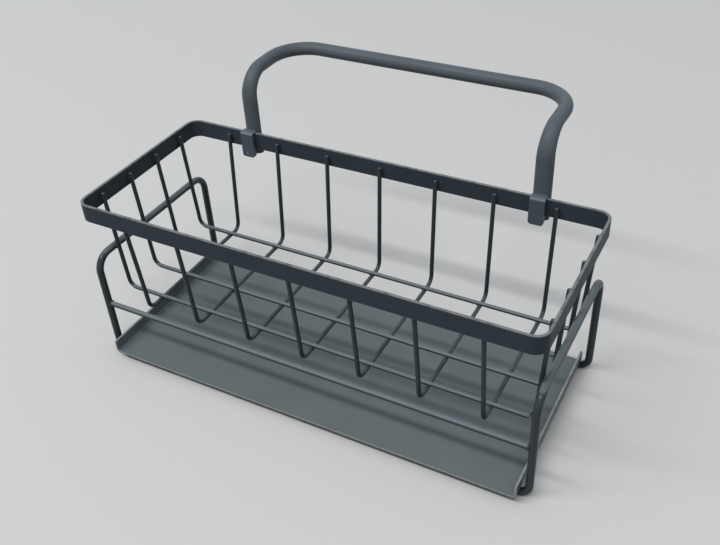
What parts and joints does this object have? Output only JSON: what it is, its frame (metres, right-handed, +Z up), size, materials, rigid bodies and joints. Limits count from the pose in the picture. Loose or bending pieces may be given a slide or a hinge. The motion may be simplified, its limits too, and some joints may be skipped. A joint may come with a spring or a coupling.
{
  "type": "kitchen sink caddy",
  "caption": "Rectangular wire basket in a flat steel rim on two bent rod frames, with a slide-out drip tray below and a towel bar hooked over the rear rim.",
  "frame": {"origin": "on the table under the centre of the rim, level with the undersides of the base rods", "axes": "+X along the caddy, +Y from the front to the towel bar behind, +Z up"},
  "size_m": [0.2508, 0.1582, 0.1377],
  "materials": {
    "rim_coat": "fine matte powder coat, gunmetal",
    "wire_coat": "fine matte powder coat, gunmetal",
    "frame_coat": "fine matte powder coat, gunmetal",
    "tray_coat": "fine matte powder coat, gunmetal",
    "hanger_coat": "fine matte powder coat, gunmetal"
  },
  "bodies": {
    "caddy": {"rim_band": "rim_coat", "cross_wire_1": "wire_coat", "cross_wire_2": "wire_coat", "cross_wire_3": "wire_coat", "cross_wire_4": "wire_coat", "cross_wire_5": "wire_coat", "cross_wire_6": "wire_coat", "cross_wire_7": "wire_coat", "long_wire_1": "wire_coat", "long_wire_2": "wire_coat", "long_wire_3": "wire_coat", "long_wire_4": "wire_coat", "left_leg_frame": "frame_coat", "right_leg_frame": "frame_coat", "front_base_rod": "frame_coat", "rear_base_rod": "frame_coat", "front_rail": "frame_coat"},
    "drip_tray": {"drip_tray": "tray_coat"},
    "towel_hanger": {"towel_bar": "hanger_coat", "towel_bar_clip_left": "hanger_coat", "towel_bar_clip_right": "hanger_coat"}
  },
  "joints": [
    {"name": "tray_slide", "type": "slide", "parent": "caddy", "child": "drip_tray", "axis": [0, -1, 0], "range_m": [0, 0.09]},
    {"name": "hanger_lift", "type": "slide", "parent": "caddy", "child": "towel_hanger", "axis": [0, 0, 1], "range_m": [0, 0.03]}
  ]
}
